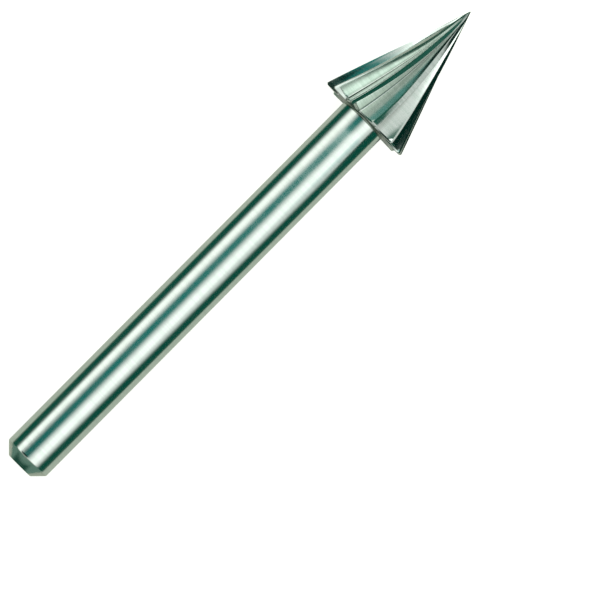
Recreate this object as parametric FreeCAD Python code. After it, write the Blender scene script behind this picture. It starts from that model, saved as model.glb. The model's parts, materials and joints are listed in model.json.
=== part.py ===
"""High speed rotary cutter: a fluted cone on a straight shank, ground from one bar of tool steel.

The tool is drawn along its own axis, from the tail of the shank at x = 0 to the point. It is then
laid down the way it comes to rest on a flat surface, on the tail's rim and on two cutting edges.
"""
import FreeCAD, Part
import math
import os

Vector = FreeCAD.Vector

AXIS_POINT = Vector(0, 0, 0)
ALONG = Vector(1, 0, 0)
ACROSS = Vector(0, 1, 0)

# Shank, in millimetres
SHANK_DIAMETER = 3.175    # one eighth of an inch, the usual collet of a hand-held rotary tool
SHANK_LENGTH = 29.6       # from the tail's end face to the rear face of the head
TAIL_CHAMFER = 0.69       # at 45 degrees
NECK_RADIUS = 0.15        # fillet where the shank meets the head

# Head, in millimetres
HEAD_DIAMETER = 6.31      # of the plain cone at the rim; the cutting edges measure 6.3
EDGE_SHARE = 0.9985       # radius of the cutting edges, as a share of the plain cone's
HEAD_LENGTH = 9.3         # from the rear face to the point
RIM_BREAK = 0.09          # small chamfer on the rear rim
POINT_RADIUS = 0.04       # the point is sharp, but not a needle

# Flutes: millimetres at the rim, from where each flute shrinks in step with the cone
TOOTH_COUNT = 10
FLUTE_DEPTH = 1.07
RAKE_LEAN = 11.0          # degrees that the rake face leans ahead of the radius
LAND_RELIEF = 25.0        # degrees that the land falls away behind its cutting edge
LAND_AT_RIM = 6.0         # degrees round the axis that one land takes up at the rim
LAND_AT_POINT = 22.0      # the same at the point, because the lands hardly get narrower
LAND_SPREAD = 1.5         # how late along the head the lands take up more of the pitch
RAKE_HOLLOW = 0.02        # how far the rake face is hollowed by the wheel
BACK_HOLLOW = 0.07        # the same for the long back face
FLUTE_LEAD = 100.0        # travel along the axis for one full turn, right-hand
POINT_PLAIN = 0.25        # end of the cone that the flutes don't reach

# How a flute is swept: these shape the cutting solid and leave the tool's own sizes alone
SECTION_COUNT = 9         # sections along one flute
RUN_OUT_POWER = 8         # how late the flute rises out of the cone near the point
REAR_OVERRUN = 0.4        # start of the sweep behind the rear face
FACE_OVERRUN = 0.06       # share of a flute face that runs on past the cone
OUTER_SHARE = 1.15        # outer reach of the sweep, as a share of the cone's radius
SEAM_AHEAD = 6.0          # degrees from a cutting edge to the cone's seam line, at the point

# Worked out from the sizes above
shank_radius = SHANK_DIAMETER / 2
head_radius = HEAD_DIAMETER / 2
rim_station = SHANK_LENGTH + RIM_BREAK
overall_length = SHANK_LENGTH + HEAD_LENGTH
pitch = 2 * math.pi / TOOTH_COUNT


def cone_slope():
    """Angle between the cone's side and the axis, with the side tangent to the rounded point."""
    reach = overall_length - POINT_RADIUS - rim_station
    across = math.hypot(reach, head_radius)
    return math.atan2(head_radius, reach) - math.asin(POINT_RADIUS / across)


def cone_radius(station):
    """Radius of the cone at a distance from the tail, also past its two ends."""
    return head_radius - (station - rim_station) * math.tan(cone_slope())


def turned(profile):
    """Solid of revolution about the tool's axis from a closed list of edges."""
    face = Part.Face(Part.Wire(profile))
    return face.revolve(AXIS_POINT, ALONG, 360)


def line(start, end):
    """Straight edge between two points given as (x, radius)."""
    return Part.LineSegment(Vector(start[0], start[1], 0), Vector(end[0], end[1], 0)).toShape()


def arc(start, middle, end):
    """Round edge through three points given as (x, radius)."""
    points = [Vector(x, radius, 0) for x, radius in (start, middle, end)]
    return Part.Arc(*points).toShape()


def make_shank():
    """Shank with its chamfered tail and the fillet that runs up to the head's rear face."""
    tail = (0, shank_radius - TAIL_CHAMFER)
    tail_rim = (TAIL_CHAMFER, shank_radius)
    neck = (SHANK_LENGTH - NECK_RADIUS, shank_radius)
    neck_top = (SHANK_LENGTH, shank_radius + NECK_RADIUS)
    bulge = NECK_RADIUS * math.sqrt(0.5)
    neck_middle = (neck[0] + bulge, neck_top[1] - bulge)
    return turned([
        line((0, 0), tail),
        line(tail, tail_rim),
        line(tail_rim, neck),
        arc(neck, neck_middle, neck_top),
        line(neck_top, (SHANK_LENGTH, 0)),
        line((SHANK_LENGTH, 0), (0, 0)),
    ])


def make_cone():
    """Head before fluting: flat rear face, broken rim, straight cone and rounded point."""
    slope = cone_slope()
    centre = overall_length - POINT_RADIUS
    rear_edge = (SHANK_LENGTH, head_radius - RIM_BREAK)
    rim = (rim_station, head_radius)
    point_start = (centre + POINT_RADIUS * math.sin(slope), POINT_RADIUS * math.cos(slope))
    half_turn = slope + (math.pi / 2 - slope) / 2
    point_middle = (centre + POINT_RADIUS * math.sin(half_turn), POINT_RADIUS * math.cos(half_turn))
    point = (overall_length, 0)
    return turned([
        line((SHANK_LENGTH, 0), rear_edge),
        line(rear_edge, rim),
        line(rim, point_start),
        arc(point_start, point_middle, point),
        line(point, (SHANK_LENGTH, 0)),
    ])


def hollow_arc(start, end, hollow, overrun=0.0):
    """Round edge, hollowed midway by the given depth to the right of the way.

    It can run on past its end by a share of its length. Returns the edge and its last point.
    """
    chord = end - start
    right = Vector(0, chord.z, -chord.y).normalize()
    middle = start + chord * 0.5 + right * hollow
    last = start + chord * (1 + overrun) - right * (4 * hollow * (1 + overrun) * overrun)
    return Part.Arc(start, middle, last).toShape(), last


def polar(station, radius, angle):
    """Point at a distance from the axis and an angle round it."""
    return Vector(station, radius * math.cos(angle), radius * math.sin(angle))


def land_heel(station, crest, scale):
    """Rear corner of the next tooth's land, which falls away behind that tooth's cutting edge."""
    spread = (1 - min(1, scale)) ** LAND_SPREAD
    land = math.radians(LAND_AT_RIM + (LAND_AT_POINT - LAND_AT_RIM) * spread)
    relief = math.radians(LAND_RELIEF)
    radius = crest * math.cos(relief) / math.cos(land - relief)
    return polar(station, radius, pitch - land)


def flute_section(station, share_of_run):
    """Closed outline of one flute at a distance from the tail, with the land at its far side.

    The cutting edge is at angle zero, the root lies ahead of it, and the back face climbs
    from the root to the heel of the next land, which rises to the next cutting edge.
    Near the point the flute lifts out of the cone.
    """
    scale = cone_radius(station) / head_radius
    depth = FLUTE_DEPTH * scale
    crest = head_radius * scale * EDGE_SHARE + depth * max(0, share_of_run) ** RUN_OUT_POWER
    edge = Vector(station, crest, 0)
    root = Vector(station, crest - depth, depth * math.tan(math.radians(RAKE_LEAN)))
    heel = land_heel(station, crest, scale)
    next_edge = polar(station, crest, pitch)
    rake, rake_end = hollow_arc(root, edge, RAKE_HOLLOW * scale, FACE_OVERRUN)
    back, _ = hollow_arc(heel, root, BACK_HOLLOW * scale)
    rake_top = Vector(station, crest * OUTER_SHARE, rake_end.z)
    land_end = next_edge + (next_edge - heel) * FACE_OVERRUN
    land_top = Vector(station, land_end.y * OUTER_SHARE, land_end.z * OUTER_SHARE)
    section = Part.Wire([
        rake,
        Part.LineSegment(rake_end, rake_top).toShape(),
        Part.LineSegment(rake_top, land_top).toShape(),
        Part.LineSegment(land_top, land_end).toShape(),
        Part.LineSegment(land_end, heel).toShape(),
        back,
    ])
    section.rotate(AXIS_POINT, ALONG, 360 * (station - rim_station) / FLUTE_LEAD)
    return section


def make_flute():
    """Solid that grinds one flute, from behind the rear face to where it leaves the cone."""
    run = overall_length - POINT_PLAIN - SHANK_LENGTH
    first = -REAR_OVERRUN
    last = run + POINT_PLAIN / 2
    sections = []
    for index in range(SECTION_COUNT):
        left = 1 - index / (SECTION_COUNT - 1)
        travel = first + (last - first) * (1 - left * left)
        sections.append(flute_section(SHANK_LENGTH + travel, travel / run))
    return Part.makeLoft(sections, True, False)


def make_cutter():
    """Whole tool on its own axis: the cone is fluted, then joined to the shank."""
    flute = make_flute()
    flutes = []
    for index in range(TOOTH_COUNT):
        copy = flute.copy()
        copy.rotate(AXIS_POINT, ALONG, math.degrees(index * pitch))
        flutes.append(copy)
    # The cone's seam line is turned into the void of a flute at the point.
    cone = make_cone()
    cone.rotate(AXIS_POINT, ALONG, 360 * HEAD_LENGTH / FLUTE_LEAD + SEAM_AHEAD)
    return make_shank().fuse(cone.cut(flutes)).removeSplitter()


def lay_down(cutter):
    """Turn and move the tool to where it rests: floor at z = 0, middle of its box at the origin."""
    # One flute faces the floor, so that the cutting edge on each side of it carries the head.
    cutter.rotate(AXIS_POINT, ALONG, -90 - math.degrees(pitch) / 2)
    head_drop = head_radius * EDGE_SHARE * math.cos(pitch / 2)
    tilt = math.atan2(head_drop - shank_radius, rim_station - TAIL_CHAMFER)
    cutter.rotate(AXIS_POINT, ACROSS, -math.degrees(tilt))
    box = cutter.optimalBoundingBox(False, False)
    cutter.translate(Vector(-box.Center.x, 0, -box.ZMin))
    return cutter


cutter = lay_down(make_cutter())
os.makedirs("parts", exist_ok=True)
cutter.exportStep("parts/cutter.step")
print("solids", len(cutter.Solids), "valid", cutter.isValid(), "volume", round(cutter.Volume, 3))
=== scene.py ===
"""High speed rotary cutter, dressed: one bar of ground tool steel, lying on a pale table.

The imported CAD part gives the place, the tilt and the sizes of the shank. The visible piece is
modelled in millimetres along its own axis, tail at x = 0 and point towards +X, and is then scaled
to metres and laid down where the CAD solid lies.
"""
from __future__ import annotations

import json
import logging
import math
from dataclasses import dataclass, field
from enum import Enum
from typing import Callable

import bmesh
import bpy
from mathutils import Matrix, Vector


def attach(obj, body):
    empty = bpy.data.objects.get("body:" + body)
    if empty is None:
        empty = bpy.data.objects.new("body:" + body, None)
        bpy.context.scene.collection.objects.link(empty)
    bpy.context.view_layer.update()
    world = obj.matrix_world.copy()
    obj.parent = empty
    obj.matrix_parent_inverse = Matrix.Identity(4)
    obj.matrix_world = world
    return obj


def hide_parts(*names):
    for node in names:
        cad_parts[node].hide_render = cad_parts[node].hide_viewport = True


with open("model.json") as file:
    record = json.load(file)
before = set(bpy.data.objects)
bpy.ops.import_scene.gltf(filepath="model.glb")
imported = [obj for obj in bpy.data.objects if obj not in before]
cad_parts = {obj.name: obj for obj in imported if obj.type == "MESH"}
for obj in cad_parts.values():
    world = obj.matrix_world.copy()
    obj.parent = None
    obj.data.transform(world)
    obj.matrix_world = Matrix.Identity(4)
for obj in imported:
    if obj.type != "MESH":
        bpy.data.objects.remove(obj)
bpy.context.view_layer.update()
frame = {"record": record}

logging.basicConfig(level=logging.INFO, format="%(message)s")
log = logging.getLogger("rotary_cutter")

Socket = bpy.types.NodeSocket

MM = 0.001
CAD_NODE = "cutter"
CAD_BODY = "root"
SHANK_MOUNT = "shank"
SAME_POINT = 1e-4        # millimetres within which two points are one
SAME_RING = 1e-3         # the same for points of one ring, and where two teeth meet
SAME_TURN = 1e-4         # share of a tooth's pitch within which two angles are one
SMOOTH_OVER = math.radians(32)    # largest angle that shading smooths over


class Area(Enum):
    """Surfaces of the cutter, each left by its own step of turning or grinding."""

    SHANK = 0
    TAIL = 1
    REAR = 2
    LAND = 3
    RAKE = 4
    BACK = 5


@dataclass(frozen=True)
class Lie:
    """Where the tool's axis lies in the frame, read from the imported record's shank mount."""

    tail: Vector
    tilt: float

    @classmethod
    def from_record(cls, record: dict, tail_chamfer: float) -> Lie:
        """Reads the shank mount.

        Args:
            record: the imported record.
            tail_chamfer: length of the chamfer behind the mount's cylinder, in metres.

        Returns:
            The place of the tail's centre, in metres, and the lift of the point.
        """
        mounts = {m["name"]: m for m in record["mounts"]}
        mount = mounts[SHANK_MOUNT]
        back = Vector(mount["axis"]).normalized()
        half_length = mount["dims"]["length_mm"] * MM / 2
        tail = Vector(mount["pos_m"]) + back * (half_length + tail_chamfer)
        return cls(tail=tail, tilt=math.asin(-back.z))


class Bench:
    """One mesh object, shaped in edit mode with Blender's own operators."""

    def __init__(self, name: str) -> None:
        """Starts a mesh from a small plane that is merged to its middle.

        Args:
            name: name of the object and its mesh.
        """
        bpy.ops.object.select_all(action="DESELECT")
        bpy.ops.mesh.primitive_plane_add(size=1.0, location=(0, 0, 0))
        self.piece: bpy.types.Object = bpy.context.object
        self.piece.name = name
        self.piece.data.name = name
        bpy.ops.object.mode_set(mode="EDIT")
        bpy.ops.mesh.select_mode(type="VERT")
        bpy.ops.mesh.merge(type="CENTER")

    def mesh(self) -> bmesh.types.BMesh:
        """The mesh that is being edited."""
        return bmesh.from_edit_mesh(self.piece.data)

    def move(self, step: Vector) -> None:
        """Moves what is selected."""
        bpy.ops.transform.translate(value=step)

    def draw_on(self, step: Vector) -> None:
        """Draws the outline on from its last point."""
        bpy.ops.mesh.extrude_vertices_move(TRANSFORM_OT_translate={"value": step})

    def extrude(self, advance: float) -> None:
        """Extrudes the selected ring along the axis."""
        bpy.ops.mesh.extrude_region_move(TRANSFORM_OT_translate={"value": (advance, 0, 0)})

    def resize(self, station: float, factor: float) -> None:
        """Scales the selected ring about the axis."""
        bpy.ops.transform.resize(value=(1, factor, factor), center_override=(station, 0, 0))

    def turn(self, station: float, angle: float) -> None:
        """Turns the selected ring right-handed about the axis.

        Args:
            station: distance of the ring from the tail.
            angle: turn in radians. With no window the operator turns the other way.
        """
        bpy.ops.transform.rotate(
            value=-angle, orient_axis="X", center_override=(station, 0, 0)
        )

    def reach(self) -> float:
        """Largest distance from the axis among the selected points."""
        return max(math.hypot(v.co.y, v.co.z) for v in self.mesh().verts if v.select)

    def fit_reach(self, station: float, radius: float) -> None:
        """Scales the selected ring until its outermost point is at the given radius."""
        self.resize(station, radius / self.reach())

    def round_off(self, share: float) -> None:
        """Draws the selected ring towards a circle by a share of the way."""
        bpy.ops.transform.tosphere(value=share)

    def shift(self, step_of: Callable[[Vector], Vector]) -> None:
        """Moves each selected point by its own step.

        Args:
            step_of: the step for a point's place.
        """
        for point in self.mesh().verts:
            if point.select:
                point.co += step_of(point.co)
        bmesh.update_edit_mesh(self.piece.data)

    def pick_points(self, wanted: Callable[[Vector], bool]) -> None:
        """Selects the points whose place answers the test.

        Args:
            wanted: test of a point's place.
        """
        bpy.ops.mesh.select_mode(type="VERT")
        bpy.ops.mesh.select_all(action="DESELECT")
        mesh = self.mesh()
        for point in mesh.verts:
            point.select_set(wanted(point.co))
        mesh.select_flush(True)
        bmesh.update_edit_mesh(self.piece.data)

    def pick_faces(self, wanted: Callable[[Vector], bool]) -> int:
        """Selects the faces whose middle answers the test.

        Args:
            wanted: test of a place.

        Returns:
            How many faces are selected.
        """
        bpy.ops.mesh.select_mode(type="FACE")
        bpy.ops.mesh.select_all(action="DESELECT")
        mesh = self.mesh()
        for face in mesh.faces:
            face.select_set(wanted(face.calc_center_median()))
        bmesh.update_edit_mesh(self.piece.data)
        return sum(face.select for face in mesh.faces)

    def bevel(self, width: float, segments: int) -> None:
        """Rounds the selected corner of the outline.

        Args:
            width: offset of the bevel.
            segments: number of steps across it.
        """
        bpy.ops.mesh.bevel(
            offset_type="OFFSET", offset=width, segments=segments, profile=0.5,
            affect="VERTICES",
        )

    def close(self) -> None:
        """Draws the selected ring together into one point."""
        bpy.ops.mesh.merge(type="CENTER")

    def done(self, smooth_angle: float) -> bpy.types.Object:
        """Leaves edit mode with the faces turned outwards and smoothed.

        Args:
            smooth_angle: largest angle that is smoothed over, in radians.

        Returns:
            The finished object.
        """
        bpy.ops.mesh.select_mode(type="VERT")
        bpy.ops.mesh.select_all(action="SELECT")
        bpy.ops.mesh.remove_doubles(threshold=SAME_POINT)
        bpy.ops.mesh.normals_make_consistent(inside=False)
        bpy.ops.mesh.select_all(action="DESELECT")
        bpy.ops.object.mode_set(mode="OBJECT")
        bpy.ops.object.shade_smooth_by_angle(angle=smooth_angle)
        return self.piece


@dataclass
class Head:
    """Fluted cone. Lengths are millimetres at the rim, from where each flute shrinks."""

    rear: float = 29.6
    diameter: float = 6.3
    length: float = 9.3
    rim_break: float = 0.09
    point_radius: float = 0.04
    teeth: int = 10
    flute_depth: float = 1.07
    rake_lean: float = math.radians(11.0)
    land_relief: float = math.radians(25.0)
    land_at_rim: float = math.radians(6.0)
    land_at_point: float = math.radians(22.0)
    land_spread: float = 1.5
    rake_hollow: float = 0.02
    back_hollow: float = 0.07
    lead: float = 100.0
    point_plain: float = 0.25
    run_out_power: float = 8.0
    edge_round: float = 0.012
    heel_round: float = 0.08
    root_round: float = 0.09
    rake_steps: int = 5
    back_steps: int = 10
    land_steps: int = 2
    corner_steps: int = 4
    rings: int = 56
    ring_crowding: float = 1.25
    point_shoulder: float = 0.7

    @property
    def radius(self) -> float:
        """Radius across the cutting edges, at the rim."""
        return self.diameter / 2

    @property
    def rim(self) -> float:
        """Distance of the rim from the tail."""
        return self.rear + self.rim_break

    @property
    def tip(self) -> float:
        """Distance of the point from the tail."""
        return self.rear + self.length

    @property
    def pitch(self) -> float:
        """Angle from one tooth to the next."""
        return 2 * math.pi / self.teeth

    @property
    def root_place(self) -> Vector:
        """Root of a flute at the rim, whose cutting edge is at angle zero."""
        drop = self.flute_depth
        return Vector((0, self.radius - drop, drop * math.tan(self.rake_lean)))

    @property
    def slope(self) -> float:
        """Angle between the cone's side and the axis.

        Returns:
            The angle, with the side tangent to the rounded point.
        """
        reach = self.tip - self.point_radius - self.rim
        across = math.hypot(reach, self.radius)
        return math.atan2(self.radius, reach) - math.asin(self.point_radius / across)

    def cone_radius(self, station: float) -> float:
        """Radius of the cone at a distance from the tail."""
        return self.radius - (station - self.rim) * math.tan(self.slope)

    def twist(self, station: float) -> float:
        """Turn of the flutes at a distance from the tail."""
        return 2 * math.pi * (station - self.rim) / self.lead

    def land_angle(self, station: float) -> float:
        """Angle round the axis that one land takes up.

        Args:
            station: distance from the tail.

        Returns:
            The angle, which grows towards the point.
        """
        gone = 1 - min(1.0, self.cone_radius(station) / self.radius)
        grown = (self.land_at_point - self.land_at_rim) * gone ** self.land_spread
        return self.land_at_rim + grown

    def heel(self, station: float) -> Vector:
        """Rear corner of the next tooth's land, before the flutes' twist.

        Args:
            station: distance from the tail.

        Returns:
            The corner's place across the axis.
        """
        land = self.land_angle(station)
        edge = max(self.cone_radius(station), self.point_radius)
        radius = edge * math.cos(self.land_relief) / math.cos(land - self.land_relief)
        return self.at_angle(radius, self.pitch - land)

    @staticmethod
    def at_angle(radius: float, angle: float) -> Vector:
        """Point at a distance from the axis and an angle round it."""
        return Vector((0, radius * math.cos(angle), radius * math.sin(angle)))

    @staticmethod
    def hollow_run(start: Vector, end: Vector, hollow: float, steps: int) -> list[Vector]:
        """Points along a slightly hollow ground face, without its start.

        Args:
            start: first corner of the face.
            end: last corner of the face.
            hollow: depth of the hollow at the middle, to the left of the way.
            steps: number of straight steps.

        Returns:
            The points, the last of which is the end.
        """
        chord = end - start
        left = Vector((0, -chord.z, chord.y)).normalized()
        points = []
        for index in range(1, steps + 1):
            share = index / steps
            points.append(start + chord * share + left * (4 * hollow * share * (1 - share)))
        return points

    def tooth_outline(self) -> tuple[list[Vector], dict[str, Vector]]:
        """Outline of one tooth and its flute at the rim, from mid land to the next mid land.

        Returns:
            The outline's points, and its three named corners.
        """
        edge, next_edge = self.at_angle(self.radius, 0), self.at_angle(self.radius, self.pitch)
        root, heel = self.root_place, self.heel(self.rim)
        land = self.hollow_run(heel, next_edge, 0, 2 * self.land_steps)[:self.land_steps]
        back_one_tooth = Matrix.Rotation(-self.pitch, 3, "X")
        points = [back_one_tooth @ land[-1], edge]
        points += self.hollow_run(edge, root, self.rake_hollow, self.rake_steps)
        points += self.hollow_run(root, heel, self.back_hollow, self.back_steps)
        points += land
        return points, {"edge": edge, "root": root, "heel": heel}

    def draw_rim(self, bench: Bench) -> None:
        """Draws one tooth at the rim, rounds its corners, and repeats it round the axis.

        Args:
            bench: the mesh to draw in, with its first point selected at the origin.
        """
        points, corners = self.tooth_outline()
        start = Vector((self.rim, 0, 0))
        bench.move(start + points[0])
        for here, there in zip(points, points[1:]):
            bench.draw_on(there - here)
        rounds = {"edge": self.edge_round, "root": self.root_round, "heel": self.heel_round}
        for name, width in rounds.items():
            place = start + corners[name]
            bench.pick_points(lambda co: (co - place).length < SAME_POINT)
            bench.bevel(width, self.corner_steps)
        bpy.ops.mesh.select_all(action="SELECT")
        bpy.ops.mesh.spin(
            steps=self.teeth, dupli=True, angle=2 * math.pi, center=(0, 0, 0), axis=(1, 0, 0)
        )
        bpy.ops.mesh.select_all(action="SELECT")
        bpy.ops.mesh.remove_doubles(threshold=SAME_RING)
        bpy.ops.mesh.select_all(action="SELECT")

    def grow(self, bench: Bench) -> None:
        """Extrudes the selected outline from the rim ring by ring up to the point.

        Args:
            bench: the mesh, with the rim's outline selected.
        """
        run = self.length - self.point_plain
        last = self.length - self.point_radius - self.rim_break
        left_before = 1.0
        station = self.rim
        for index in range(1, self.rings + 1):
            travel = last * (1 - (1 - index / self.rings) ** self.ring_crowding)
            start, station = station, self.rim + travel
            bench.extrude(station - start)
            bench.turn(station, self.twist(station) - self.twist(start))
            left = 1 - min(1.0, travel / run) ** self.run_out_power
            if left < left_before and left_before > 0:
                bench.round_off(1 - left / left_before)
            left_before = left
            bench.fit_reach(station, max(self.cone_radius(station), self.point_radius))
            bench.shift(lambda co: self.heel_step(co, start, station))
        cap = self.point_radius * (1 - self.point_shoulder)
        bench.extrude(self.point_radius - cap)
        bench.resize(self.tip - cap, self.point_shoulder)
        bench.extrude(cap)
        bench.close()

    def heel_step(self, place: Vector, start: float, station: float) -> Vector:
        """How far a point of the last ring moves as the lands take up more of the pitch.

        Args:
            place: the point, on a ring that only shrank since its start.
            start: distance from the tail of the ring before it.
            station: its own distance from the tail.

        Returns:
            The step: all of the heel's own at the heel, and none at the root and the edges.
        """
        shrunk = self.cone_radius(station) / self.cone_radius(start)
        old_heel, new_heel = self.heel(start) * shrunk, self.heel(station)
        root = self.root_place * (self.cone_radius(station) / self.radius)
        angle = math.atan2(place.z, place.y) - self.twist(station)
        tooth = math.floor(angle / self.pitch + SAME_TURN) * self.pitch
        within = angle - tooth
        root_angle = math.atan2(root.z, root.y)
        heel_angle = math.atan2(old_heel.z, old_heel.y)
        if within <= root_angle:
            return Vector((0, 0, 0))
        if within <= heel_angle:
            chord = old_heel - root
            spot = self.at_angle(off_axis(place), within)
            share = min(1.0, max(0.0, (spot - root).dot(chord) / chord.length_squared))
        else:
            share = (self.pitch - within) / (self.pitch - heel_angle)
        turn = Matrix.Rotation(tooth + self.twist(station), 3, "X")
        return turn @ ((new_heel - old_heel) * share)

    def break_rim(self, bench: Bench) -> None:
        """Extrudes the selected rim back to the rear face, drawn in a little all round.

        Args:
            bench: the mesh, with the rim's outline selected.
        """
        bench.extrude(-self.rim_break)
        bench.turn(self.rear, self.twist(self.rear))
        bench.fit_reach(self.rear, self.radius - self.rim_break)

    def face_area(self, place: Vector) -> Area:
        """Area of a face of the flutes.

        Args:
            place: middle of the face, in the modelling frame.

        Returns:
            Land, rake face or back face.
        """
        within = (math.atan2(place.z, place.y) - self.twist(place.x)) % self.pitch
        root = self.root_place
        if within < math.atan2(root.z, root.y):
            return Area.RAKE
        if within < self.pitch - self.land_angle(place.x):
            return Area.BACK
        return Area.LAND


@dataclass
class Shank:
    """Straight shank, chamfered at its tail and filleted into the head. Millimetres."""

    diameter: float = 3.175
    length: float = 29.6
    tail_chamfer: float = 0.69
    neck_radius: float = 0.15
    corner_round: float = 0.06
    corner_steps: int = 4
    neck_steps: int = 5
    rings: int = 24
    face_rings: int = 4

    @property
    def radius(self) -> float:
        """Radius of the shank."""
        return self.diameter / 2

    @property
    def face_radius(self) -> float:
        """Radius of the flat end inside the chamfer."""
        return self.radius - self.tail_chamfer

    def profile(self) -> list[tuple[float, float]]:
        """Rings from the head's rear face to the tail.

        Returns:
            Station and radius of each ring.
        """
        neck = self.length - self.neck_radius
        rings = []
        for index in range(self.neck_steps + 1):
            angle = math.pi / 2 * index / self.neck_steps
            station = self.length - self.neck_radius * (1 - math.cos(angle))
            rings.append((station, self.radius + self.neck_radius * (1 - math.sin(angle))))
        tail_rim = (self.tail_chamfer, self.radius)
        tail_edge = (0.0, self.face_radius)
        for index in range(1, self.rings):
            rings.append((neck + (self.tail_chamfer - neck) * index / self.rings, self.radius))
        # A ring close to the rounding keeps its shading off the straight shank.
        rings.append((self.tail_chamfer + 2 * self.corner_round, self.radius))
        rings += self.rounded(rings[-1], tail_rim, tail_edge)
        rings += self.rounded(tail_rim, tail_edge, (0.0, 0.0))
        return rings

    def rounded(
        self, before: tuple[float, float], corner: tuple[float, float], after: tuple[float, float]
    ) -> list[tuple[float, float]]:
        """Steps round a corner of the profile.

        Args:
            before: point before the corner, as station and radius.
            corner: the sharp corner.
            after: point after it.

        Returns:
            Stations and radii from one end of the rounding to the other.
        """
        middle = Vector(corner)
        back = (Vector(before) - middle).normalized() * self.corner_round
        ahead = (Vector(after) - middle).normalized() * self.corner_round
        steps = []
        for index in range(self.corner_steps + 1):
            share = index / self.corner_steps
            steps.append(tuple(middle + back * (1 - share) ** 2 + ahead * share ** 2))
        return steps

    def grow(self, bench: Bench) -> None:
        """Extrudes the rear outline down the neck and the shank, and closes the tail.

        Args:
            bench: the mesh, with the outline of the head's rear face selected.
        """
        here = self.length
        for index, (station, radius) in enumerate(self.profile()):
            bench.extrude(station - here)
            if index == 0:
                bench.round_off(1.0)
            bench.fit_reach(station, radius)
            here = station
        for index in range(1, self.face_rings):
            bench.extrude(0)
            bench.fit_reach(0, radius * (1 - index / self.face_rings))
        bench.extrude(0)
        bench.close()


def off_axis(place: Vector) -> float:
    """Distance of a place from the tool's axis."""
    return math.hypot(place.y, place.z)


class NodeSheet:
    """Small helper that adds and links nodes in one node tree."""

    def __init__(self, tree: bpy.types.NodeTree) -> None:
        """Keeps the tree.

        Args:
            tree: the node tree of a material, a world or a group.
        """
        self.tree = tree

    def add(self, kind: str, **settings: object) -> bpy.types.Node:
        """Adds a node.

        Args:
            kind: type name of the node, without its leading "ShaderNode".
            settings: properties to set on it.

        Returns:
            The node.
        """
        node = self.tree.nodes.new("ShaderNode" + kind)
        for name, value in settings.items():
            setattr(node, name, value)
        return node

    def feed(self, socket: Socket, value: object) -> None:
        """Links a socket into another, or sets its plain value.

        Args:
            socket: the input.
            value: an output socket, a number, or a tuple of numbers.
        """
        if isinstance(value, Socket):
            self.tree.links.new(value, socket)
        else:
            socket.default_value = value

    def math(self, operation: str, first: object, second: object = 0.0) -> Socket:
        """Adds a math node.

        Args:
            operation: Blender's name of the operation.
            first: first input, a socket or a number.
            second: second input.

        Returns:
            The result's socket.
        """
        node = self.add("Math", operation=operation)
        self.feed(node.inputs[0], first)
        if operation not in ("ABSOLUTE", "SQRT"):
            self.feed(node.inputs[1], second)
        return node.outputs[0]

    def spread(
        self, value: object, low: float, high: float, to_low: float, to_high: float
    ) -> Socket:
        """Maps a range of a value smoothly to another range.

        Args:
            value: the input.
            low: value that gives to_low.
            high: value that gives to_high.
            to_low: first end of the new range.
            to_high: other end of it.

        Returns:
            The result's socket.
        """
        node = self.add("MapRange", interpolation_type="SMOOTHSTEP")
        for name, plain in (("From Min", low), ("From Max", high), ("To Min", to_low),
                            ("To Max", to_high)):
            node.inputs[name].default_value = plain
        self.feed(node.inputs["Value"], value)
        return node.outputs["Result"]

    def blend(self, share: object, first: object, second: object) -> Socket:
        """Mixes two colours.

        Args:
            share: share of the second colour.
            first: first colour, a socket or four numbers.
            second: second colour.

        Returns:
            The mixed colour's socket.
        """
        node = self.add("Mix", data_type="RGBA")
        self.feed(node.inputs[0], share)
        self.feed(node.inputs[6], first)
        self.feed(node.inputs[7], second)
        return node.outputs[2]

    def length(self, y: object, z: object) -> Socket:
        """Length of a line from its two parts.

        Args:
            y: first part, a socket or a number.
            z: second part.

        Returns:
            The result's socket.
        """
        return self.math("SQRT", self.math(
            "ADD", self.math("MULTIPLY", y, y), self.math("MULTIPLY", z, z)))

    def fade(self, place: object, soft: tuple[float, float]) -> Socket:
        """Mask of a rectangle that fades towards its edges.

        Args:
            place: place on the rectangle, from 0 to 1 each way.
            soft: share of the width and of the height that the fading takes up at each edge.

        Returns:
            The mask's socket, 1 in the middle and 0 at the edges.
        """
        fades = []
        for part, share in zip(self.split(place), soft):
            off = self.math("ABSOLUTE", self.math("SUBTRACT", part, 0.5))
            fades.append(self.spread(off, 0.5 - share, 0.5, 1, 0))
        return self.math("MULTIPLY", *fades)

    def split(self, vector: object) -> list[Socket]:
        """Separates a vector into its three parts.

        Args:
            vector: the input's socket.

        Returns:
            The sockets of X, Y and Z.
        """
        node = self.add("SeparateXYZ")
        self.feed(node.inputs[0], vector)
        return list(node.outputs)

    def join(self, x: object, y: object, z: object) -> Socket:
        """Combines three values into a vector.

        Args:
            x: first part, a socket or a number.
            y: second part.
            z: third part.

        Returns:
            The vector's socket.
        """
        node = self.add("CombineXYZ")
        for socket, value in zip(node.inputs, (x, y, z)):
            self.feed(socket, value)
        return node.outputs[0]


def new_group(
    name: str, inputs: dict[str, tuple[str, float]], outputs: dict[str, str]
) -> tuple[bpy.types.NodeTree, bpy.types.Node, bpy.types.Node]:
    """Starts a shader node group with named inputs and outputs.

    Args:
        name: name of the group.
        inputs: for each input its kind, Vector or Float, and a Float's plain value.
        outputs: for each output its kind.

    Returns:
        The group, its input node and its output node.
    """
    group = bpy.data.node_groups.new(name, "ShaderNodeTree")
    for label, (kind, plain) in inputs.items():
        socket = group.interface.new_socket(label, in_out="INPUT",
                                            socket_type="NodeSocket" + kind)
        if kind == "Float":
            socket.default_value = plain
    for label, kind in outputs.items():
        group.interface.new_socket(label, in_out="OUTPUT", socket_type="NodeSocket" + kind)
    return group, group.nodes.new("NodeGroupInput"), group.nodes.new("NodeGroupOutput")


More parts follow.
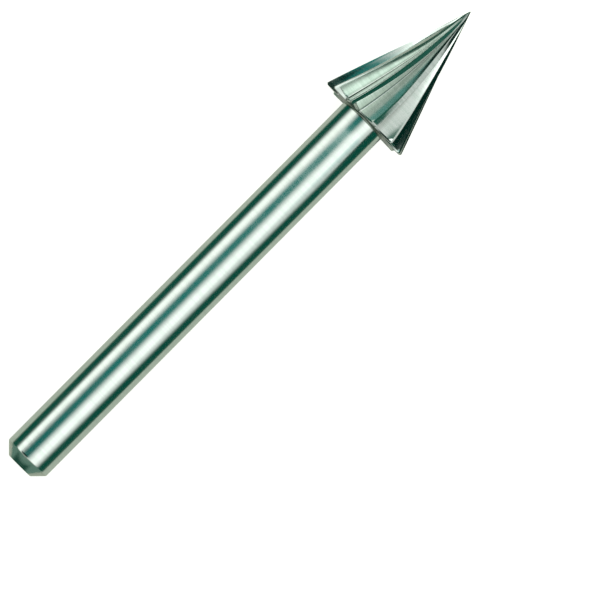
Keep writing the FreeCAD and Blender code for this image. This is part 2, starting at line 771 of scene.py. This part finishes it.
class Effects:
    """Node groups that the finishes share. Their places and sizes are in millimetres."""

    BROAD_MARKS = 0.23          # scale of the broad marks against the fine ones
    TONE_RANGE = (0.38, 0.62)   # noise that gives the first and the last tone
    PATCH_RANGE = (0.35, 0.65)  # the same for the patches of oil
    # The root band holds the painted shade in the flutes' roots, the edge band the painted
    # highlight on the cutting edges
    ROOT_BAND = (0.02, 0.09)    # shares of the cone's radius, out from the root
    EDGE_BAND = (0.96, 0.995)   # shares of the cone's radius, up to the cutting edge
    LEAST_CONE = 0.02           # keeps the share within bounds at the point

    def __init__(self, lie: Lie, head: Head) -> None:
        """Builds each group once.

        Args:
            lie: where the tool lies.
            head: sizes of the fluted head.
        """
        self.place = self.make_place(lie)
        self.marks = self.make_marks()
        self.blotches = self.make_blotches()
        self.flute_depth = self.make_flute_depth(head)

    @staticmethod
    def make_place(lie: Lie) -> bpy.types.NodeTree:
        """Place along the tool's own axis: X from the tail to the point.

        Args:
            lie: where the tool lies.

        Returns:
            The node group.
        """
        group, source, result = new_group(
            "tool_place", {"Object": ("Vector", 0.0)}, {"Place": "Vector"})
        sheet = NodeSheet(group)
        shift = sheet.add("VectorMath", operation="SUBTRACT")
        sheet.feed(shift.inputs[0], source.outputs["Object"])
        shift.inputs[1].default_value = lie.tail
        turn = sheet.add("Mapping")
        turn.inputs["Rotation"].default_value = (0, lie.tilt, 0)
        turn.inputs["Scale"].default_value = (1 / MM, 1 / MM, 1 / MM)
        sheet.feed(turn.inputs["Vector"], shift.outputs[0])
        sheet.feed(result.inputs["Place"], turn.outputs[0])
        return group

    @staticmethod
    def make_marks() -> bpy.types.NodeTree:
        """Fine lines left by turning or grinding, at right angles to the axis.

        Returns:
            The node group.
        """
        group, source, result = new_group(
            "tool_marks",
            {"Place": ("Vector", 0.0), "Spacing": ("Float", 0.1), "Reach": ("Float", 4.0),
             "Facing": ("Float", 0.0)},
            {"Height": "Float", "Tone": "Float"})
        sheet = NodeSheet(group)
        x, y, z = sheet.split(source.outputs["Place"])
        across = sheet.length(y, z)
        run = sheet.math("ADD", x, sheet.math("MULTIPLY", across, source.outputs["Facing"]))
        reach = source.outputs["Reach"]
        stretched = sheet.join(sheet.math("DIVIDE", run, source.outputs["Spacing"]),
                               sheet.math("DIVIDE", y, reach), sheet.math("DIVIDE", z, reach))
        fine = sheet.add("TexNoise")
        fine.inputs["Scale"].default_value = 1.0
        fine.inputs["Detail"].default_value = 2.0
        fine.inputs["Roughness"].default_value = 0.6
        sheet.feed(fine.inputs["Vector"], stretched)
        broad = sheet.add("TexNoise")
        broad.inputs["Scale"].default_value = Effects.BROAD_MARKS
        broad.inputs["Detail"].default_value = 1.0
        sheet.feed(broad.inputs["Vector"], stretched)
        sheet.feed(result.inputs["Height"], fine.outputs["Fac"])
        both = sheet.math("ADD", sheet.math("MULTIPLY", fine.outputs["Fac"], 0.5),
                          sheet.math("MULTIPLY", broad.outputs["Fac"], 0.5))
        tone = sheet.spread(both, *Effects.TONE_RANGE, 0, 1)
        sheet.feed(result.inputs["Tone"], tone)
        return group

    @staticmethod
    def make_blotches() -> bpy.types.NodeTree:
        """Soft patches where handling oil and the smoothness of the ground steel vary.

        Returns:
            The node group.
        """
        group, source, result = new_group(
            "oil_blotches", {"Place": ("Vector", 0.0), "Size": ("Float", 1.5)},
            {"Mask": "Float"})
        sheet = NodeSheet(group)
        noise = sheet.add("TexNoise")
        noise.inputs["Detail"].default_value = 2.0
        sheet.feed(noise.inputs["Vector"], source.outputs["Place"])
        sheet.feed(noise.inputs["Scale"], sheet.math("DIVIDE", 1.0, source.outputs["Size"]))
        mask = sheet.spread(noise.outputs["Fac"], *Effects.PATCH_RANGE, 0, 1)
        sheet.feed(result.inputs["Mask"], mask)
        return group

    @staticmethod
    def make_flute_depth(head: Head) -> bpy.types.NodeTree:
        """How deep a place lies in a flute: masks for the painted shade in the root and the
        painted highlight along the cutting edges.

        Args:
            head: sizes of the fluted head.

        Returns:
            The node group.
        """
        group, source, result = new_group(
            "flute_depth", {"Place": ("Vector", 0.0)}, {"Root": "Float", "Edge": "Float"})
        sheet = NodeSheet(group)
        x, y, z = sheet.split(source.outputs["Place"])
        across = sheet.length(y, z)
        slope = math.tan(head.slope)
        cone = sheet.math("MULTIPLY_ADD", x, -slope)
        cone.node.inputs[2].default_value = head.radius + head.rim * slope
        least = sheet.math("MAXIMUM", cone, Effects.LEAST_CONE)
        share = sheet.math("DIVIDE", across, least)
        root = 1 - head.flute_depth / head.radius
        low, high = (root + step for step in Effects.ROOT_BAND)
        sheet.feed(result.inputs["Root"], sheet.spread(share, low, high, 1, 0))
        sheet.feed(result.inputs["Edge"], sheet.spread(share, *Effects.EDGE_BAND, 0, 1))
        return group


# Colours of the steel, in linear light
STEEL = (0.56, 0.63, 0.58)
DULL_STEEL = (0.38, 0.47, 0.41)
# Dark brown of the painted shade that darkens the flutes' roots
ROOT_SHADE_BROWN = (0.1, 0.11, 0.085)
# Pale steel of the painted highlight along the cutting edges
EDGE_HIGHLIGHT_COLOUR = (0.7, 0.76, 0.71)


@dataclass(frozen=True)
class SteelFinish:
    """One ground or turned finish of the tool steel. Some finishes also carry painted shade and a
    painted highlight. Lengths are millimetres.
    """

    name: str
    colour: tuple[float, float, float]
    dull: tuple[float, float, float]
    roughness: float
    rough_swing: float = 0.06
    spacing: float = 0.12
    reach: float = 4.0
    facing: float = 0.0
    mark_height: float = 0.002
    dull_share: float = 0.35
    # Share of painted shade that darkens the flutes' roots
    painted_root_shade: float = 0.0
    # Share of painted highlight that brightens the cutting edges
    painted_edge_highlight: float = 0.0

    def make(self, effects: Effects) -> bpy.types.Material:
        """Builds the finish.

        Args:
            effects: the shared node groups.

        Returns:
            The material.
        """
        material = bpy.data.materials.new(self.name)
        material.use_nodes = True
        sheet = NodeSheet(material.node_tree)
        shader = material.node_tree.nodes["Principled BSDF"]
        shader.inputs["Metallic"].default_value = 1.0
        source = sheet.add("TexCoord")
        place = sheet.add("Group", node_tree=effects.place)
        sheet.feed(place.inputs["Object"], source.outputs["Object"])
        marks = sheet.add("Group", node_tree=effects.marks)
        sheet.feed(marks.inputs["Place"], place.outputs["Place"])
        for label, plain in (("Spacing", self.spacing), ("Reach", self.reach),
                             ("Facing", self.facing)):
            marks.inputs[label].default_value = plain
        blotches = sheet.add("Group", node_tree=effects.blotches)
        sheet.feed(blotches.inputs["Place"], place.outputs["Place"])
        tone = sheet.math("MULTIPLY", marks.outputs["Tone"], self.dull_share)
        colour = sheet.blend(tone, (*self.colour, 1.0), (*self.dull, 1.0))
        low, high = self.roughness - self.rough_swing, self.roughness + self.rough_swing
        mixed = sheet.math("MULTIPLY", sheet.math(
            "ADD", marks.outputs["Tone"], blotches.outputs["Mask"]), 0.5)
        rough = sheet.spread(mixed, 0, 1, low, high)
        if self.painted_root_shade or self.painted_edge_highlight:
            depth = sheet.add("Group", node_tree=effects.flute_depth)
            sheet.feed(depth.inputs["Place"], place.outputs["Place"])
            # Painted shade: the flutes' roots are darkened towards dark brown
            root_shade_share = sheet.math("MULTIPLY", depth.outputs["Root"], self.painted_root_shade)
            colour = sheet.blend(root_shade_share, colour, (*ROOT_SHADE_BROWN, 1.0))
            # Painted highlight: the cutting edges are brightened towards a pale steel
            edge_highlight_share = sheet.math("MULTIPLY", depth.outputs["Edge"], self.painted_edge_highlight)
            colour = sheet.blend(edge_highlight_share, colour, (*EDGE_HIGHLIGHT_COLOUR, 1.0))
        sheet.feed(shader.inputs["Base Color"], colour)
        sheet.feed(shader.inputs["Roughness"], rough)
        bump = sheet.add("Bump")
        bump.inputs["Strength"].default_value = 1.0
        bump.inputs["Distance"].default_value = self.mark_height * MM
        sheet.feed(bump.inputs["Height"], marks.outputs["Height"])
        sheet.feed(shader.inputs["Normal"], bump.outputs["Normal"])
        return material


FINISHES: dict[Area, SteelFinish] = {
    Area.SHANK: SteelFinish("ground_shank", STEEL, DULL_STEEL, 0.15, rough_swing=0.02,
                            mark_height=0.0005, dull_share=0.2),
    Area.TAIL: SteelFinish("turned_tail", (0.46, 0.5, 0.44), DULL_STEEL, 0.2,
                           facing=1.0, spacing=0.09, mark_height=0.001),
    # The rear face and the neck fillet get a much darker steel: painted shade where the head
    # meets the shank
    Area.REAR: SteelFinish("rear_face_painted_shade", (0.19, 0.23, 0.19), (0.12, 0.15, 0.12), 0.3,
                           facing=1.0, spacing=0.09),
    Area.LAND: SteelFinish("ground_land", (0.5, 0.57, 0.52), (0.3, 0.37, 0.33), 0.15,
                           mark_height=0.0006),
    # Rake and back faces: painted shade in the roots and a painted highlight along the cutting
    # edges
    Area.RAKE: SteelFinish("ground_rake", STEEL, DULL_STEEL, 0.14, rough_swing=0.03,
                           mark_height=0.0005, painted_root_shade=0.4, painted_edge_highlight=0.3),
    Area.BACK: SteelFinish("ground_back", STEEL, DULL_STEEL, 0.16, rough_swing=0.03,
                           spacing=0.16, mark_height=0.0008, dull_share=0.45,
                           painted_root_shade=0.4, painted_edge_highlight=0.3),
}


@dataclass
class RotaryCutter:
    """The whole tool, one piece of steel."""

    head: Head = field(default_factory=Head)
    shank: Shank = field(default_factory=Shank)

    def model(self, effects: Effects) -> bpy.types.Object:
        """Models the tool in millimetres along +X.

        Args:
            effects: the shared node groups of the finishes.

        Returns:
            The object, with one material slot for each area.
        """
        head, shank = self.head, self.shank
        bench = Bench("ground_cutter")
        head.draw_rim(bench)
        head.grow(bench)
        bench.pick_points(lambda co: abs(co.x - head.rim) < SAME_RING)
        head.break_rim(bench)
        shank.grow(bench)
        self.mark_areas(bench, effects)
        return bench.done(SMOOTH_OVER)

    def area_of(self, place: Vector) -> Area:
        """Area that a face belongs to.

        Args:
            place: middle of the face, in the modelling frame.

        Returns:
            The area.
        """
        head, shank = self.head, self.shank
        if place.x > head.rear + SAME_RING:
            return head.face_area(place)
        if place.x > head.rear - shank.neck_radius:
            return Area.REAR
        if place.x > shank.tail_chamfer:
            return Area.SHANK
        return Area.TAIL

    def mark_areas(self, bench: Bench, effects: Effects) -> None:
        """Gives each area its own material slot.

        Args:
            bench: the modelled tool, still in edit mode.
            effects: the shared node groups of the finishes.
        """
        piece = bench.piece
        for area in Area:
            bpy.ops.object.material_slot_add()
            piece.material_slots[area.value].material = FINISHES[area].make(effects)
        for area in Area:
            count = bench.pick_faces(lambda place: self.area_of(place) is area)
            piece.active_material_index = area.value
            bpy.ops.object.material_slot_assign()
            log.info("area %s: %d faces", area.name.lower(), count)

    def lay_down(self, piece: bpy.types.Object, lie: Lie) -> None:
        """Scales the piece to metres and puts it where the CAD solid lies.

        Args:
            piece: the modelled tool, selected and active.
            lie: where the tool lies.
        """
        roll = -math.pi / 2 - self.head.pitch / 2
        piece.scale = (MM, MM, MM)
        piece.rotation_euler = (roll, -lie.tilt, 0)
        piece.location = lie.tail
        bpy.ops.object.transform_apply(location=True, rotation=True, scale=True)

    def build(self, record: dict) -> bpy.types.Object:
        """Args:
            record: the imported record.

        Returns:
            The finished piece.
        """
        lie = Lie.from_record(record, self.shank.tail_chamfer * MM)
        piece = self.model(Effects(lie, self.head))
        self.lay_down(piece, lie)
        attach(piece, CAD_BODY)
        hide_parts(CAD_NODE)
        log.info("%s: %d faces", piece.name, len(piece.data.polygons))
        return piece


@dataclass(frozen=True)
class Lamp:
    """Long soft lamp beside the tool. Its angle is taken from straight up towards +Y."""

    name: str
    angle: float
    width: float
    length: float
    shine: float
    colour: tuple[float, float, float] = (1.0, 1.0, 1.0)
    distance: float = 150.0
    ahead: float = 0.0
    soft: tuple[float, float] = (0.1, 0.35)

    def hang(self) -> None:
        """Hangs the lamp, facing the tool."""
        angle = math.radians(self.angle)
        along = Vector((1, 0, 0))
        away = Vector((0, math.sin(angle), math.cos(angle)))
        turn = Matrix((along, away.cross(along), away)).transposed()
        place = away * self.distance + along * self.ahead
        bpy.ops.object.light_add(type="AREA", location=place * MM)
        lamp = bpy.context.object
        lamp.name = self.name
        lamp.rotation_euler = turn.to_euler()
        lamp.data.shape = "RECTANGLE"
        lamp.data.size = self.length * MM
        lamp.data.size_y = self.width * MM
        lamp.data.color = self.colour
        lamp.data.energy = self.shine * math.pi * self.length * self.width * MM * MM
        lamp.visible_camera = False
        self.soften(lamp.data)

    def soften(self, light: bpy.types.AreaLight) -> None:
        """Lets the lamp's face fade towards its edges, as a diffuser does.

        Args:
            light: the lamp's data.
        """
        light.use_nodes = True
        sheet = NodeSheet(light.node_tree)
        face = sheet.add("NewGeometry")
        glow = light.node_tree.nodes["Emission"]
        sheet.feed(glow.inputs["Strength"], sheet.fade(face.outputs["Parametric"], self.soft))


@dataclass(frozen=True)
class Card:
    """Coloured card that only the steel mirrors.

    Its direction is seen from the tool: degrees round from +X towards +Y, and above the table.
    """

    name: str
    round_from_x: float
    above: float
    wide: float
    high: float
    colour: tuple[float, float, float]
    distance: float = 200.0
    centre: tuple[float, float, float] = (5.0, 0.0, 3.0)
    soft: tuple[float, float] = (0.1, 0.1)

    def stand(self) -> None:
        """Stands the card up, facing the tool, and hides it from the camera, from shadows and
        from diffuse light.
        """
        spin, lift = math.radians(self.round_from_x), math.radians(self.above)
        away = Vector((
            math.cos(spin) * math.cos(lift), math.sin(spin) * math.cos(lift), math.sin(lift)))
        middle = Vector(self.centre) + away * self.distance
        sideways = Vector((-math.sin(spin), math.cos(spin), 0))
        turn = Matrix((sideways, away.cross(sideways), away)).transposed()
        bpy.ops.object.select_all(action="DESELECT")
        bpy.ops.mesh.primitive_plane_add(size=1.0, location=middle * MM)
        card = bpy.context.object
        card.name = self.name
        card.rotation_euler = turn.to_euler()
        card.scale = tuple(
            2 * self.distance * MM * math.tan(math.radians(size) / 2)
            for size in (self.wide, self.high)) + (1.0,)
        bpy.ops.object.transform_apply(location=True, rotation=True, scale=True)
        card.data.materials.append(self.paint())
        card.visible_camera = False
        card.visible_shadow = False
        card.visible_diffuse = False

    def paint(self) -> bpy.types.Material:
        """Makes a glow in the card's colour, which fades out towards its edges.

        Returns:
            The material.
        """
        material = bpy.data.materials.new(self.name)
        material.use_nodes = True
        sheet = NodeSheet(material.node_tree)
        material.node_tree.nodes.clear()
        source = sheet.add("TexCoord")
        glow = sheet.add("Emission")
        glow.inputs["Color"].default_value = (*self.colour, 1.0)
        mixed = sheet.add("MixShader")
        sheet.feed(mixed.inputs[0], sheet.fade(source.outputs["UV"], self.soft))
        sheet.feed(mixed.inputs[1], sheet.add("BsdfTransparent").outputs[0])
        sheet.feed(mixed.inputs[2], glow.outputs["Emission"])
        output = sheet.add("OutputMaterial")
        sheet.feed(output.inputs["Surface"], mixed.outputs[0])
        return material


# Colours of the surroundings that the steel mirrors
OVER_TEAL = (0.012, 0.25, 0.23)
NEAR_BLACK = (0.002, 0.03, 0.022)
DEEP_GREEN = (0.004, 0.1, 0.07)
DARK_GREEN = (0.03, 0.16, 0.12)
TAIL_GREEN = (0.02, 0.1, 0.075)
MID_GREEN = (0.2, 0.36, 0.31)
MID_TEAL = (0.2, 0.55, 0.55)


@dataclass
class Studio:
    """Table, lamps, cards and the camera. Millimetres and degrees, unless a line says metres.

    The cards stand in for what the real tool mirrored: a teal ceiling strip overhead, dark green
    to both sides and in front, and something near-black by the head. Flags are cards close by.
    """

    aim: tuple[float, float, float] = (-0.336, -4.988, 2.5)
    camera_place: tuple[float, float, float] = (-29.6, -10.0, 301.0)
    picture_turn: float = 45.29
    view_width: float = 36.4
    sensor: float = 36.0
    sight_range: tuple[float, float] = (0.01, 10.0)  # metres
    table_size: float = 4.0  # metres
    table_colour: tuple[float, float, float] = (0.7, 0.76, 0.62)
    table_glow: float = 0.8
    table_mirrored: float = 0.25
    world_mirrored: float = 1.0
    fill: float = 0.35
    lamps: tuple[Lamp, ...] = (
        Lamp("lamp_left", 51, 118, 195, 0.72, (1.0, 0.98, 0.94), ahead=-52, soft=(0.06, 0.45)),
        Lamp("lamp_right", -34, 144, 195, 0.72, ahead=-52, soft=(0.06, 0.4)),
        Lamp("lamp_front", 5, 190, 76, 1.6, ahead=52, soft=(0.15, 0.3)),
    )
    cards: tuple[Card, ...] = (
        Card("card_over", 90, 79, 27, 50, OVER_TEAL, 500, (-40, 0, 3), (0.01, 0.4)),
        Card("card_tail_over", 90, 79, 74, 46, NEAR_BLACK, 480, (-413, 84, 3), (0.01, 0.12)),
        Card("flag_left", 90, 2, 150, 58, DEEP_GREEN, 9, soft=(0.05, 0.35)),
        Card("flag_right", -90, 2, 150, 62, DEEP_GREEN, 9, soft=(0.05, 0.35)),
        Card("card_front_left", 36, 21.5, 64, 61, DARK_GREEN, soft=(0.06, 0.05)),
        Card("card_front_right", -55, 8, 36, 54, NEAR_BLACK, soft=(0.1, 0.1)),
        Card("card_front_teal", -73, 36, 24, 28, MID_TEAL, soft=(0.2, 0.2)),
        Card("flag_head", -57, 8, 125, 98, NEAR_BLACK, 6, (13, -2.5, 1.2)),
        # flag_under_head lies flat on the table by the head: a near-black card that only the
        # steel mirrors, a painted reflection of the shade under the head
        Card("flag_under_head", -71.5, -90, 124, 69, NEAR_BLACK, 2.9, (15.1, -2.7, 3)),
        Card("flag_tail", 180, 0, 26, 9, MID_GREEN, 26.3, (5, 0, 1.7)),
        Card("flag_tail_dark", 180, 0, 7.6, 7, TAIL_GREEN, 26.1, (5, 0.2, 1.1), (0.2, 0.08)),
    )

    def camera(self) -> None:
        """Puts the scene's camera where the photograph was taken from."""
        turn = math.radians(self.picture_turn)
        sight = Vector(self.camera_place) - Vector(self.aim)
        back = sight.normalized()
        along = Vector((0, 1, 0)).cross(back).normalized()
        across = back.cross(along)
        right = along * math.cos(turn) - across * math.sin(turn)
        up = along * math.sin(turn) + across * math.cos(turn)
        place = Vector(self.camera_place) * MM
        bpy.ops.object.camera_add(location=place)
        camera = bpy.context.object
        camera.name = "camera"
        camera.rotation_euler = Matrix((right, up, back)).transposed().to_euler()
        camera.data.sensor_width = self.sensor
        camera.data.lens = self.sensor * sight.length / self.view_width
        camera.data.clip_start, camera.data.clip_end = self.sight_range
        bpy.context.scene.camera = camera

    @staticmethod
    def seen_white(sheet: NodeSheet, mirrored: float) -> Socket:
        """Strength of the white background: full for the camera, a share for mirrors and glass.

        Args:
            sheet: the tree to work in.
            mirrored: share that mirror and glass rays see.

        Returns:
            The strength's socket.
        """
        path = sheet.add("LightPath")
        mirror = sheet.math("MAXIMUM", path.outputs["Is Glossy Ray"],
                            path.outputs["Is Transmission Ray"])
        return sheet.math("MAXIMUM", path.outputs["Is Camera Ray"],
                          sheet.math("MULTIPLY", mirror, mirrored))

    def floor(self) -> None:
        """Lays the pale table, white to the camera and to mirrors, with the shadow kept."""
        bpy.ops.object.select_all(action="DESELECT")
        bpy.ops.mesh.primitive_plane_add(size=self.table_size, location=(0, 0, 0))
        floor = bpy.context.object
        floor.name = "table"
        material = bpy.data.materials.new("pale_table")
        material.use_nodes = True
        sheet = NodeSheet(material.node_tree)
        shader = material.node_tree.nodes["Principled BSDF"]
        shader.inputs["Base Color"].default_value = (*self.table_colour, 1.0)
        shader.inputs["Roughness"].default_value = 0.9
        shader.inputs["Specular IOR Level"].default_value = 0.0
        shader.inputs["Emission Color"].default_value = (1, 1, 1, 1)
        strength = sheet.math(
            "MULTIPLY", self.seen_white(sheet, self.table_mirrored), self.table_glow)
        sheet.feed(shader.inputs["Emission Strength"], strength)
        floor.data.materials.append(material)

    def world(self) -> None:
        """Sets a white surround for the camera, mirrors and glass, and a low plain fill."""
        world = bpy.data.worlds.new("studio")
        bpy.context.scene.world = world
        world.use_nodes = True
        sheet = NodeSheet(world.node_tree)
        world.node_tree.nodes.clear()
        background = sheet.add("Background")
        background.inputs["Color"].default_value = (1, 1, 1, 1)
        strength = sheet.math(
            "MAXIMUM", self.seen_white(sheet, self.world_mirrored), self.fill)
        sheet.feed(background.inputs["Strength"], strength)
        output = sheet.add("OutputWorld")
        sheet.feed(output.inputs["Surface"], background.outputs[0])

    def build(self) -> None:
        """Sets up everything round the tool."""
        self.world()
        self.floor()
        for lamp in self.lamps:
            lamp.hang()
        for card in self.cards:
            card.stand()
        self.camera()
        bpy.context.scene.view_settings.view_transform = "Standard"


def main() -> None:
    """Builds the tool and the studio."""
    piece = RotaryCutter().build(frame["record"])
    log.info("piece %s rides on %s", piece.name, CAD_BODY)
    Studio().build()
    bpy.context.view_layer.update()


if __name__ == "__main__":
    main()
